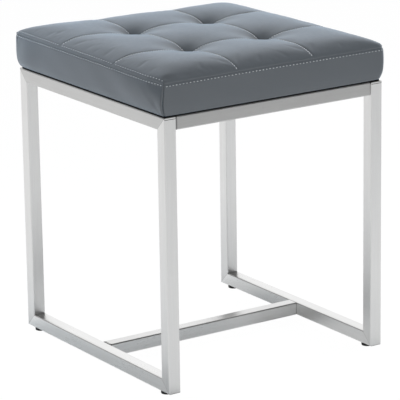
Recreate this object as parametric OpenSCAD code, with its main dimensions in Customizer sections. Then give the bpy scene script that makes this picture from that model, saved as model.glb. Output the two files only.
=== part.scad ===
// Square upholstered stool: two welded loops of square tube, joined by rails, under a tufted cushion.
// Millimetres. X runs across the loops, the front is towards -Y, Z is up from the floor.

/* [Frame] */
// outside width of the frame, over both loops
frame_w = 384; // [320:1:460]
// outside depth of the frame, front to rear
frame_d = 402; // [330:1:480]
// height of the frame's top face above the floor
frame_top = 415; // [280:1:620]
// outside size of the square tube
tube = 20; // [18:1:26]
// wall of the square tube
tube_wall = 1.5; // [1:0.1:2]
// outside corner radius of the square tube
tube_round = 2; // [1.5:0.1:2.5]
// how far the front and rear rails stand behind the legs' faces
rail_setback = 2; // [1:0.5:4]

/* [Glides] */
// height of the frame's underside above the floor, with the glides screwed in
glide_h = 5; // [4.6:0.1:7]
// outside diameter of the glide's pad
pad_d = 17; // [14:0.5:18]
// diameter of the glide's threaded stem
stem_d = 6; // [5:1:6]
// length of stem above its foot
stem_len = 19; // [17:0.5:20]
// distance of each glide's axis from the loop's front or rear face
glide_inset = 22; // [20:0.5:24]

/* [Seat fixing] */
// length of each corner plate along the tubes
plate_leg = 55; // [45:1:70]
// thickness of the corner plates
plate_t = 3; // [2:0.5:4]
// distance of the seat bolt from both tubes
bolt_edge = 20; // [17:1:24]
// diameter of the seat bolts
bolt_d = 6; // [5:1:6]
// length of a seat bolt's shank
bolt_len = 20; // [17:1:21]

/* [Cushion] */
// how far the cushion stands out past the frame all round
overhang = 2.5; // [1:0.5:5]
// height of the top's outer seam above the frame
rim_h = 52; // [44:1:75]
// rise of the seams above the outer seam
crown = 12.5; // [8:0.5:16]
// extra rise of each panel between its seams
puff = 4; // [2:0.5:7]
// how far a tuft is pulled down below the seams
tuft_drop = 13; // [8:0.5:16]
// how wide a tuft's dip spreads
tuft_r = 22; // [14:1:30]
// distance from the outer seam over which the crown rises
crown_run = 55; // [30:1:60]
// distance from the cushion's middle to each seam that runs front to rear
seam_x = 66; // [50:1:80]
// distance from the cushion's middle to each seam that runs left to right
seam_y = 73; // [50:1:85]
// thickness of the leatherette
leather_t = 1.2; // [0.8:0.1:1.4]
// thickness of the plywood seat board
board_t = 12; // [12:1:18]
// thickness of the black felt ring between frame and cushion
felt_t = 2.5; // [1.5:0.5:3.5]

/* [Hidden] */
cover_t = 0.6;         // dust cover
seam_gap = 0.2;        // between two leather edges that are sewn together
foam_gap = 0.3;        // between foam and leather
wrap_w = 32;           // leather turned under the board
wrap_round = 3;        // bottom edge of the side bands
band_corner = 12;      // plan radius of a band's bottom corner
tie_d = 1.6;           // tuft cord
anchor_d = 14;         // tuft anchor
anchor_t = 2;
staple_w = 12;         // staple crown
staple_leg = 7;
wire = 0.6;            // staple wire
washer_t = 1.6;
run_gap = 0.05;        // radial clearance of a turning stem
rest_gap = 0.1;        // pad below its insert, screwed in, and the stem's foot in its pocket
flange_t = 0.8;        // rivet nut's outer flange
flange_w = 1.5;
insert_len = 11;       // rivet nut above the rail's underside
bulge_w = 1.2;         // rivet nut's set bulge
bulge_h = 2;
foot_t = 1.6;          // disc at the stem's lower end
foot_w = 2;
pad_floor = 0.8;       // pad under the stem's foot
key = 3;               // hex key for the stem
key_depth = 3.1;
key_play = 0.9;        // hole in the pad around the key
head_h = 4;            // seat bolt's head
head_w = 4;            // across its flats, over the shank
bolt_play = 0.3;
tnut_barrel = 9;
tnut_wall = 1;
tnut_flange_w = 6.5;
anchor_play = 0.4;
tie_play = 0.7;
board_in = 1.4;        // board's edge inside the bands
cover_in = 5;          // dust cover's edge inside the frame's
cover_r = 8;
felt_in = 1.2;         // felt's edges inside the rails' faces
felt_r = 4;
corner_fill = 3;
tip = 6;               // cut-off tips of the corner plates
staple_in = 4;         // staples inside the tubes
fine = 32;
half_w = frame_w / 2 + overhang;
half_d = frame_d / 2 + overhang;
loop_x = frame_w / 2 - tube / 2;
rail_y = frame_d / 2 - rail_setback - tube / 2;
inner_w = frame_w / 2 - tube;
inner_d = rail_y - tube / 2;
bolt_x = inner_w - bolt_edge;
bolt_y = inner_d - bolt_edge;
plate_z = frame_top - tube_round - plate_t;
cover_z = frame_top + felt_t;
wrap_z = cover_z + cover_t;
board_z = wrap_z + leather_t + seam_gap;
board_top = board_z + board_t;
rim_z = frame_top + rim_h;
band_h = rim_z - wrap_z - leather_t - seam_gap;
glide_y = frame_d / 2 - glide_inset;
insert_d = stem_d + 3;
foot_z = pad_floor + rest_gap;
tnut_flange_t = 1.5;
tnut_d = bolt_d + 2 * tnut_wall;
tnut_flange_d = bolt_d + 2 * tnut_flange_w;
steps = [0, 0.04, 0.14, 0.3, 0.5, 0.7, 0.86, 0.96, 1];
corners = [[-1, -1], [-1, 1], [1, -1], [1, 1]];

steel = [0.76, 0.76, 0.75];
zinc = [0.66, 0.67, 0.70];
leather = [0.42, 0.45, 0.49];
black = [0.06, 0.06, 0.06];
ply = [0.76, 0.62, 0.44];
foam = [0.93, 0.90, 0.78];
cord = [0.85, 0.85, 0.82];

// Square tube

module tube_section() {
  core = tube - 2 * tube_round;
  bore = tube - 2 * tube_wall;
  difference() {
    union() {
      square([tube, core], center = true);
      square([core, tube], center = true);
      for (c = corners)
        translate([c[0] * core / 2, c[1] * core / 2])
          circle(r = tube_round, $fn = 24);
    }
    square([bore, bore], center = true);
  }
}

// a straight tube along X, from x = a to x = b
module tube_x(a, b) {
  translate([a, 0, 0])
    rotate([90, 0, 90])
      linear_extrude(b - a)
        tube_section();
}

// a straight tube along Y through the whole frame
module tube_y() {
  translate([0, frame_d / 2, 0])
    rotate([90, 0, 0])
      linear_extrude(frame_d)
        tube_section();
}

module tube_z() {
  translate([0, 0, glide_h])
    linear_extrude(frame_top - glide_h)
      tube_section();
}

// side view of a loop's member, cut at 45 degrees, as a prism across X
module mitre_prism(outline) {
  translate([-tube, 0, 0])
    rotate([90, 0, 90])
      linear_extrude(2 * tube)
        polygon(outline);
}

// leg of a loop: side is -1 left or 1 right, end is -1 front or 1 rear
module leg(side, end) {
  outer = end * frame_d / 2;
  inner = outer - end * tube;
  color(steel)
    translate([side * loop_x, 0, 0])
      intersection() {
        translate([0, outer - end * tube / 2, 0])
          tube_z();
        mitre_prism([
          [outer, glide_h],
          [inner, glide_h + tube],
          [inner, frame_top - tube],
          [outer, frame_top]
        ]);
      }
}

// rail of a loop: level is the height of its outer face, up is 1 for the lower rail and -1 for the upper
module loop_rail(side, level, up) {
  color(steel)
    translate([side * loop_x, 0, 0])
      intersection() {
        translate([0, 0, level + up * tube / 2])
          tube_y();
        mitre_prism([
          [-frame_d / 2, level],
          [frame_d / 2, level],
          [frame_d / 2 - tube, level + up * tube],
          [-frame_d / 2 + tube, level + up * tube]
        ]);
      }
}

module top_rail(side) {
  loop_rail(side, frame_top, -1);
}

module bottom_rail(side) {
  difference() {
    loop_rail(side, glide_h, 1);
    for (end = [-1, 1])
      translate([side * loop_x, end * glide_y, glide_h - 1])
        cylinder(d = insert_d + 2 * run_gap, h = tube_wall + 2, $fn = fine);
  }
}

module cross_rail(end) {
  color(steel)
    translate([0, end * rail_y, frame_top - tube / 2])
      tube_x(-inner_w, inner_w);
}

module stretcher() {
  color(steel)
    translate([0, 0, glide_h + tube / 2])
      tube_x(-inner_w, inner_w);
}

// Corner plates and the seat's fixings

module corner_plate(side, end) {
  color(steel)
    difference() {
      translate([side * inner_w, end * inner_d, plate_z])
        linear_extrude(plate_t)
          polygon([
            [0, 0],
            [-side * plate_leg, 0],
            [-side * plate_leg, -end * tip],
            [-side * tip, -end * plate_leg],
            [0, -end * plate_leg]
          ]);
      translate([side * bolt_x, end * bolt_y, plate_z - 1])
        cylinder(d = bolt_d + 2 * bolt_play, h = plate_t + 2, $fn = fine);
    }
}

module at_bolts() {
  for (c = corners)
    translate([c[0] * bolt_x, c[1] * bolt_y, 0])
      children();
}

module washers() {
  color(zinc)
    at_bolts()
      translate([0, 0, plate_z - washer_t])
        difference() {
          cylinder(d = 2 * bolt_d, h = washer_t, $fn = fine);
          translate([0, 0, -1])
            cylinder(d = bolt_d + 2 * bolt_play, h = washer_t + 2, $fn = fine);
        }
}

module seat_bolts() {
  color(zinc)
    at_bolts()
      translate([0, 0, plate_z - washer_t - head_h]) {
        cylinder(d = (bolt_d + head_w) / cos(30), h = head_h, $fn = 6);
        cylinder(d = bolt_d, h = head_h + bolt_len, $fn = fine);
      }
}

module t_nuts() {
  color(zinc)
    at_bolts()
      translate([0, 0, board_top])
        difference() {
          union() {
            translate([0, 0, -tnut_flange_t])
              cylinder(d = tnut_flange_d, h = tnut_flange_t, $fn = fine);
            translate([0, 0, -tnut_barrel])
              cylinder(d = tnut_d, h = tnut_barrel, $fn = fine);
          }
          translate([0, 0, -tnut_barrel - 1])
            cylinder(d = bolt_d + 2 * run_gap, h = tnut_barrel + 2, $fn = fine);
        }
}

// Glides

module at_glide(side, end) {
  translate([side * loop_x, end * glide_y, 0])
    children();
}

// rivet nut: flange under the rail, barrel through its wall, bulge set above the wall
module glide_inserts() {
  r = insert_d / 2;
  wall_top = glide_h + tube_wall;
  color(zinc)
    for (c = corners)
      at_glide(c[0], c[1])
        rotate_extrude($fn = fine)
          polygon([
            [stem_d / 2 + run_gap, glide_h - flange_t],
            [r + flange_w, glide_h - flange_t],
            [r + flange_w, glide_h],
            [r, glide_h],
            [r, wall_top],
            [r + bulge_w, wall_top],
            [r + bulge_w, wall_top + bulge_h],
            [r, wall_top + bulge_h + bulge_w],
            [r, glide_h + insert_len],
            [stem_d / 2 + run_gap, glide_h + insert_len]
          ]);
}

// nylon pad: a rounded disc with a pocket that holds the stem's foot
module glide_pad(side, end) {
  r = pad_d / 2;
  top = glide_h - flange_t - rest_gap;
  hole_r = key / 2 + key_play;
  foot_r = stem_d / 2 + foot_w;
  foot_top = foot_z + foot_t + rest_gap;
  edge = r / 8;
  color(black)
    at_glide(side, end)
      rotate_extrude($fn = fine)
        polygon([
          [hole_r, 0],
          [r - edge, 0],
          [r - edge * 0.3, edge * 0.3],
          [r, edge],
          [r, top - edge / 2],
          [r - edge / 2, top],
          [stem_d / 2 + run_gap, top],
          [stem_d / 2 + run_gap, foot_top],
          [foot_r + run_gap, foot_top],
          [foot_r + run_gap, pad_floor],
          [hole_r, pad_floor]
        ]);
}

module glide_stem(side, end) {
  color(zinc)
    at_glide(side, end)
      difference() {
        union() {
          translate([0, 0, foot_z])
            cylinder(d = stem_d + 2 * foot_w, h = foot_t, $fn = fine);
          translate([0, 0, foot_z + foot_t])
            cylinder(d = stem_d, h = stem_len, $fn = fine);
        }
        translate([0, 0, foot_z - 1])
          cylinder(d = key / cos(30), h = key_depth + 1, $fn = 6);
      }
}

// Seat board and what is fixed under it

module rounded_plate(w, d, r, t) {
  linear_extrude(t)
    union() {
      square([w, d - 2 * r], center = true);
      square([w - 2 * r, d], center = true);
      for (c = corners)
        translate([c[0] * (w / 2 - r), c[1] * (d / 2 - r)])
          circle(r = r, $fn = 2 * fine);
    }
}

// a slab's end view with both lower edges chamfered
module chamfer_outline(w, t, c) {
  polygon([
    [-w / 2 + c, 0],
    [w / 2 - c, 0],
    [w / 2, c],
    [w / 2, t],
    [-w / 2, t],
    [-w / 2, c]
  ]);
}

module at_tufts() {
  for (c = corners)
    translate([c[0] * seam_x, c[1] * seam_y, 0])
      children();
}

module seat_board() {
  w = 2 * (half_w - leather_t - board_in);
  d = 2 * (half_d - leather_t - board_in);
  chamfer = board_t / 8;
  pocket = anchor_t + anchor_play;
  color(ply)
    translate([0, 0, board_z])
      difference() {
        intersection() {
          rounded_plate(w, d, band_corner + 2, board_t);
          rotate([90, 0, 0])
            linear_extrude(d, center = true)
              chamfer_outline(w, board_t, chamfer);
          rotate([90, 0, 90])
            linear_extrude(w, center = true)
              chamfer_outline(d, board_t, chamfer);
        }
        at_bolts()
          translate([0, 0, -1])
            cylinder(d = tnut_d + 2 * run_gap, h = board_t + 2, $fn = fine);
        at_bolts()
          translate([0, 0, board_t - tnut_flange_t])
            cylinder(d = tnut_flange_d + 2 * run_gap, h = tnut_flange_t + 1, $fn = fine);
        at_tufts()
          translate([0, 0, -1])
            cylinder(d = tie_d + 2 * tie_play, h = board_t + 2, $fn = fine);
        at_tufts()
          translate([0, 0, -1])
            cylinder(d = anchor_d + 2 * anchor_play, h = pocket + 1, $fn = fine);
      }
}

module tuft_anchors() {
  color(black)
    at_tufts()
      translate([0, 0, board_z + anchor_play])
        difference() {
          cylinder(d = anchor_d, h = anchor_t, $fn = fine);
          translate([0, 0, -1])
            cylinder(d = tie_d + 2 * run_gap, h = anchor_t + 2, $fn = 24);
        }
}

// each cord runs from its anchor to just under the seams' crossing
module tuft_ties() {
  foot = board_z + anchor_play;
  head = top_z(seam_x, seam_y, 0, 0) - leather_t - rest_gap;
  color(cord)
    at_tufts()
      translate([0, 0, foot])
        cylinder(d = tie_d, h = head - foot, $fn = 24);
}

// ring that lies on the top rails and shows as a dark line under the cushion
module seat_felt() {
  color(black)
    translate([0, 0, frame_top])
      difference() {
        rounded_plate(
          frame_w - 2 * felt_in,
          frame_d - 2 * (rail_setback + felt_in),
          felt_r,
          felt_t
        );
        translate([0, 0, felt_t / 2])
          cube([2 * (inner_w + felt_in), 2 * (inner_d + felt_in), felt_t + 2], center = true);
      }
}

module dust_cover() {
  color(black)
    translate([0, 0, cover_z])
      difference() {
        rounded_plate(frame_w - 2 * cover_in, frame_d - 2 * cover_in, cover_r, cover_t);
        at_bolts()
          translate([0, 0, -1])
            cylinder(d = bolt_d * 1.5, h = cover_t + 2, $fn = fine);
      }
}

module staple() {
  translate([-staple_w / 2, -wire, cover_z - wire])
    cube([staple_w, 2 * wire, wire]);
  for (s = [-1, 1])
    translate([s * (staple_w - wire) / 2 - wire / 2, -wire, cover_z - wire])
      cube([wire, 2 * wire, staple_leg]);
}

// a row of staples on each side, just inside the tubes
module staples() {
  nx = 7;
  ny = 7;
  span_x = 2 * (inner_w - plate_leg / 2);
  span_y = 2 * (inner_d - plate_leg / 2);
  color(zinc) {
    for (i = [0 : nx - 1])
      for (s = [-1, 1])
        translate([span_x * (i / (nx - 1) - 0.5), s * (inner_d - staple_in), 0])
          staple();
    for (i = [0 : ny - 1])
      for (s = [-1, 1])
        translate([s * (inner_w - staple_in), span_y * (i / (ny - 1) - 0.5), 0])
          rotate([0, 0, 90])
            staple();
  }
}

// Form of the cushion's top
// rise: 0 at the outer seam, 1 where the crown is full, for a distance d in from the edge
function rise(d) = 1 - pow(1 - min(max(d, 0) / crown_run, 1), 2.5);
// bulge: 0 at a panel's seams, 1 at its middle, for t from 0 to 1 across the panel
function bulge(t) = sqrt(max(sin(180 * t), 0));
// pull: 1 at a tuft, fading outwards
function pull(x, y) = exp(-pow(norm([abs(x) - seam_x, abs(y) - seam_y]) / tuft_r, 1.2));
// both: the rises from two edges as one, fuller in a corner than their product
function both(a, b) = a * b * (1 + corner_fill * (1 - a) * (1 - b));
function top_z(x, y, tx, ty) =
  rim_z
  + crown * both(rise(half_w - abs(x)), rise(half_d - abs(y)))
  + puff * bulge(tx) * bulge(ty)
  - tuft_drop * pull(x, y);
// edges of column or row i of the nine panels
function low_edge(i, half, seam) = [-half, -seam, seam][i];
function high_edge(i, half, seam) = [-seam, seam, half][i];

// closed solid between an upper and a lower grid of points, rows by columns
module grid_solid(upper, lower) {
  rows = len(upper);
  cols = len(upper[0]);
  count = rows * cols;
  points = concat([for (row = upper) each row], [for (row = lower) each row]);
  over = [
    for (r = [0 : rows - 2]) for (c = [0 : cols - 2])
      let (p = r * cols + c)
      each [[p, p + cols, p + 1], [p + 1, p + cols, p + cols + 1]]
  ];
  under = [for (f = over) [f[0] + count, f[2] + count, f[1] + count]];
  rim = concat(
    [for (c = [0 : cols - 2]) c],
    [for (r = [0 : rows - 2]) r * cols + cols - 1],
    [for (c = [cols - 1 : -1 : 1]) (rows - 1) * cols + c],
    [for (r = [rows - 1 : -1 : 1]) r * cols]
  );
  last = len(rim) - 1;
  side = [
    for (k = [0 : last])
      let (p = rim[k], q = rim[k == last ? 0 : k + 1])
      each [[p, q, q + count], [p, q + count, p + count]]
  ];
  polyhedron(points = points, faces = concat(over, under, side), convexity = 6);
}

// one leatherette panel of the top: column i left to right, row j front to rear
module panel(i, j) {
  x0 = low_edge(i, half_w, seam_x) + (i == 0 ? 0 : seam_gap / 2);
  x1 = high_edge(i, half_w, seam_x) - (i == 2 ? 0 : seam_gap / 2);
  y0 = low_edge(j, half_d, seam_y) + (j == 0 ? 0 : seam_gap / 2);
  y1 = high_edge(j, half_d, seam_y) - (j == 2 ? 0 : seam_gap / 2);
  upper = [
    for (ty = steps) [
      for (tx = steps)
        let (x = x0 + tx * (x1 - x0), y = y0 + ty * (y1 - y0))
        [x, y, top_z(x, y, tx, ty)]
    ]
  ];
  lower = [for (row = upper) [for (p = row) p - [0, 0, leather_t]]];
  color(leather)
    grid_solid(upper, lower);
}

// grid lines of the foam across one axis: those of the panels, without the two nearest the rim
function foam_lines(half, seam, edge) = [
  for (i = [0 : 2]) for (k = [0 : len(steps) - 1])
    if ((k > 0 || i == 0) && [i, k] != [0, 1] && [i, k] != [2, len(steps) - 2])
      let (a = low_edge(i, half, seam), b = high_edge(i, half, seam), t = steps[k])
      [max(-edge, min(edge, a + t * (b - a))), t]
];

module seat_foam() {
  in = leather_t + foam_gap;
  foot_in = in + 0.7;
  corner_in = 1.8;
  xs = foam_lines(half_w, seam_x, half_w - in);
  ys = foam_lines(half_d, seam_y, half_d - in);
  last = len(xs) - 1;
  upper = [
    for (j = [0 : last]) [
      for (i = [0 : last])
        let (edge = i == 0 || i == last || j == 0 || j == last)
        [
          xs[i][0],
          ys[j][0],
          (edge ? rim_z - foam_gap : top_z(xs[i][0], ys[j][0], xs[i][1], ys[j][1])) - in
        ]
    ]
  ];
  lower = [
    for (j = [0 : last]) [
      for (i = [0 : last])
        let (
          corner = (i == 0 || i == last) && (j == 0 || j == last),
          hx = half_w - foot_in - (corner ? corner_in : 0),
          hy = half_d - foot_in - (corner ? corner_in : 0)
        )
        [
          max(-hx, min(hx, xs[i][0])),
          max(-hy, min(hy, ys[j][0])),
          board_top
        ]
    ]
  ];
  color(foam)
    difference() {
      grid_solid(upper, lower);
      at_tufts()
        translate([0, 0, board_top - 1])
          cylinder(d = tie_d + 2 * tie_play, h = rim_h, $fn = 16);
    }
}

// Side bands
// rows of a band from under the board up to the top seam: inset, height above the wrap, plan corner radius
band_rows = [
  [wrap_w, 0, 0.2],
  [wrap_round + 1, 0, band_corner - wrap_round],
  [wrap_round * 0.3 + 1, wrap_round * 0.3, band_corner - wrap_round * 0.3],
  [1, wrap_round, band_corner],
  [0.5, 9, 9],
  [0.2, 18, 6],
  [0, (band_h + 10) / 2, 3],
  [0, band_h, leather_t + 0.3]
];
// which way the leather's inner face lies from its outer face, row by row: inset and height
band_in = [[0, 1], [0, 1], [0.7, 0.7], [1, 0], [1, 0], [1, 0], [1, 0], [1, 0]];

// a row's points from one corner seam to the other, for a side of half length a at distance b
function band_line(a, b, r, z) = [
  [-a + r - r * cos(45) + seam_gap / 2, -b + r - r * sin(45), z],
  [-a + r - r * cos(67.5), -b + r - r * sin(67.5), z],
  [-a + r, -b, z],
  [a - r, -b, z],
  [a - r + r * cos(67.5), -b + r - r * sin(67.5), z],
  [a - r + r * cos(45) - seam_gap / 2, -b + r - r * sin(45), z]
];

module band(a, b) {
  outer = [
    for (row = band_rows)
      band_line(a - row[0], b - row[0], row[2], wrap_z + row[1])
  ];
  inner = [
    for (k = [0 : len(band_rows) - 1])
      let (
        inset = band_rows[k][0] + leather_t * band_in[k][0],
        z = wrap_z + band_rows[k][1] + leather_t * band_in[k][1],
        r = band_rows[k][2] - leather_t * band_in[k][0]
      )
      band_line(a - inset, b - inset, r, z)
  ];
  color(leather)
    grid_solid(outer, inner);
}

leg(-1, -1);  // left_front_leg
leg(-1, 1);  // left_rear_leg
top_rail(-1);  // left_top_rail
bottom_rail(-1);  // left_bottom_rail
leg(1, -1);  // right_front_leg
leg(1, 1);  // right_rear_leg
top_rail(1);  // right_top_rail
bottom_rail(1);  // right_bottom_rail
cross_rail(-1);  // front_top_rail
cross_rail(1);  // rear_top_rail
stretcher();
corner_plate(-1, -1);  // corner_plate_lf
corner_plate(-1, 1);  // corner_plate_lr
corner_plate(1, -1);  // corner_plate_rf
corner_plate(1, 1);  // corner_plate_rr
glide_inserts();
glide_pad(-1, -1);  // glide_pad_lf
glide_pad(-1, 1);  // glide_pad_lr
glide_pad(1, -1);  // glide_pad_rf
glide_pad(1, 1);  // glide_pad_rr
glide_stem(-1, -1);  // glide_stem_lf
glide_stem(-1, 1);  // glide_stem_lr
glide_stem(1, -1);  // glide_stem_rf
glide_stem(1, 1);  // glide_stem_rr
seat_board();
t_nuts();
seat_bolts();
washers();
seat_foam();
panel(0, 0);  // panel_11
panel(0, 1);  // panel_12
panel(0, 2);  // panel_13
panel(1, 0);  // panel_21
panel(1, 1);  // panel_22
panel(1, 2);  // panel_23
panel(2, 0);  // panel_31
panel(2, 1);  // panel_32
panel(2, 2);  // panel_33
band(half_w, half_d);  // front_band
rotate([0, 0, 180]) band(half_w, half_d);  // rear_band
rotate([0, 0, -90]) band(half_d, half_w);  // left_band
rotate([0, 0, 90]) band(half_d, half_w);  // right_band
tuft_ties();
tuft_anchors();
dust_cover();
staples();
seat_felt();
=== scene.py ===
"""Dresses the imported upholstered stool.

The steel frame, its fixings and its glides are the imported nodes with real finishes. The seat's
soft pieces are made here: nine leatherette panels inflated over the foam, four side bands, the
dust cover, the tuft cords and every stitch. A plain studio and the camera come last.
"""

import logging
import math
from collections.abc import Callable, Sequence
from dataclasses import dataclass, field
from enum import Enum

import bpy
import numpy as np
from mathutils import Matrix, Vector
from mathutils.bvhtree import BVHTree


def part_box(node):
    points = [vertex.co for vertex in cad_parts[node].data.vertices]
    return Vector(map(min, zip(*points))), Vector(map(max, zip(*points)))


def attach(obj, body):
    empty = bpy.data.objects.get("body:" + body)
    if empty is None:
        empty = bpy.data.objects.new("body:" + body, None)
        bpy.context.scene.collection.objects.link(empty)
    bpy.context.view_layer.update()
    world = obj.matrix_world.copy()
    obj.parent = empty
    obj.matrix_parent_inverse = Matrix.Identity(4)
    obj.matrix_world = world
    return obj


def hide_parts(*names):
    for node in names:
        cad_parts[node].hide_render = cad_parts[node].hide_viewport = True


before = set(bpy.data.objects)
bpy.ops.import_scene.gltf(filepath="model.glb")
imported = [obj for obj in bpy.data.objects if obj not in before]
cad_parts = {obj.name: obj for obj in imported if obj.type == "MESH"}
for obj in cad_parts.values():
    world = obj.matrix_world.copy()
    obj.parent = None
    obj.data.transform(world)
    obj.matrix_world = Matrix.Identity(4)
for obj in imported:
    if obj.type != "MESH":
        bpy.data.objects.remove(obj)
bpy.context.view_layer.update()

MM = 0.001
# farther off than anything on the stool, in metres
FAR = 9.0
QUARTERS = [(sx, sy) for sx in (-1, 1) for sy in (-1, 1)]
WHITE = (1.0, 1.0, 1.0, 1.0)
LOG = logging.getLogger("stool")
Piece = bpy.types.Object
Material = bpy.types.Material
Node = bpy.types.Node
Socket = bpy.types.NodeSocket
Sockets = Sequence[Socket]
Tree = bpy.types.NodeTree
Array = np.ndarray
Rgb = tuple[float, float, float]
Point = tuple[float, float, float]
Corners = tuple[tuple[float, float], tuple[float, float]]
Surface = Callable[[float], tuple[Vector, Vector]]


# Shared tools


def lone(piece: Piece) -> Piece:
    """Selects one object alone, makes it active and returns it."""
    bpy.ops.object.select_all(action="DESELECT")
    piece.select_set(True)
    bpy.context.view_layer.objects.active = piece
    return piece


def mesh_piece(name: str, points: Array, faces: Sequence[Sequence[int]]) -> Piece:
    """Makes an object at the origin from points and faces.

    Args:
        name: the piece's name.
        points: one row of x, y, z per vertex, in metres.
        faces: vertex numbers of each face, counter-clockwise from outside.

    Returns:
        The new object.
    """
    mesh = bpy.data.meshes.new(name)
    mesh.from_pydata(np.asarray(points, float).tolist(), [], [list(f) for f in faces])
    mesh.validate()
    piece = bpy.data.objects.new(name, mesh)
    bpy.context.scene.collection.objects.link(piece)
    return piece


def grid_faces(rows: int, cols: int, start: int = 0) -> list[list[int]]:
    """Faces of a grid of points, counter-clockwise when rows run up and columns run right."""
    return [
        [p, p + 1, p + cols + 1, p + cols]
        for r in range(rows - 1)
        for p in range(start + r * cols, start + r * cols + cols - 1)
    ]


def grid_shell(name: str, outer: Array, inner: Array) -> Piece:
    """Makes a closed piece between two grids of points.

    Args:
        name: the piece's name.
        outer: rows by columns by 3, seen with rows running up and columns running right.
        inner: the grid behind it, of the same size.

    Returns:
        The new object.
    """
    rows, cols = outer.shape[:2]
    count = rows * cols
    faces = grid_faces(rows, cols)
    faces += [[p + count for p in reversed(f)] for f in faces]
    rim = list(range(cols))
    rim += [r * cols + cols - 1 for r in range(1, rows)]
    rim += [count - 1 - c for c in range(1, cols)]
    rim += [r * cols for r in range(rows - 2, 0, -1)]
    faces += [[q, p, p + count, q + count] for p, q in zip(rim, rim[1:] + rim[:1])]
    return mesh_piece(name, np.concatenate([outer.reshape(-1, 3), inner.reshape(-1, 3)]), faces)


def smooth(piece: Piece, degrees: float = 40.0) -> Piece:
    """Shades a piece smooth, apart from edges sharper than the angle, and returns it."""
    lone(piece)
    bpy.ops.object.shade_smooth_by_angle(angle=math.radians(degrees))
    return piece


def square_grid(half_x: float, half_y: float, cells: int) -> tuple[Array, Array]:
    """Returns x and y of a square grid around the origin."""
    sides = (np.linspace(-half, half, cells + 1) for half in (half_x, half_y))
    x, y = np.meshgrid(*sides)
    return x, y


def primitive(add: Callable[..., object], **sizes: object) -> Piece:
    """Adds a mesh primitive by its call, with nothing else selected, and returns it."""
    bpy.ops.object.select_all(action="DESELECT")
    add(**sizes)
    return bpy.context.active_object


def drill(piece: Piece, radius: float, x: float, y: float) -> None:
    """Cuts four upright round holes right through a piece.

    Args:
        piece: the piece to cut.
        radius: the holes' radius.
        x: how far each hole is to the left or right of the middle.
        y: how far it is to the front or rear.
    """
    add, high, middle = bpy.ops.mesh.primitive_cylinder_add, 0.3, 0.45
    for sx, sy in QUARTERS:
        place = (sx * x, sy * y, middle)
        cutter = primitive(add, vertices=20, radius=radius, depth=high, location=place)
        lone(piece)
        cut = piece.modifiers.new("hole", "BOOLEAN")
        cut.operation = "DIFFERENCE"
        cut.solver = "EXACT"
        cut.object = cutter
        bpy.ops.object.modifier_apply(modifier="hole")
        bpy.data.objects.remove(cutter)


def dress(piece: Piece, material: Material) -> None:
    """Gives a piece one material in all its slots."""
    if not piece.material_slots:
        piece.data.materials.append(material)
    for slot in piece.material_slots:
        slot.material = material


def finish_soft(piece: Piece, material: Material, slot: str, *nodes: str) -> None:
    """Dresses a soft piece, rides it on the frame and lets it stand for its nodes."""
    dress(piece, material)
    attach(piece, "frame")
    if nodes:
        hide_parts(*nodes)
    LOG.info("%s: %d faces", piece.name, len(piece.data.polygons))


def clip01(value: Array) -> Array:
    """Values held between 0 and 1."""
    return np.clip(value, 0.0, 1.0)


def step01(value: Array) -> Array:
    """A smooth step from 0 to 1 over values from 0 to 1."""
    t = clip01(value)
    return t * t * (3.0 - 2.0 * t)


def bell(value: Array, width: float) -> Array:
    """A bell of height 1 around 0."""
    return np.exp(-((value / width) ** 2))


# Shader wiring


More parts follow.
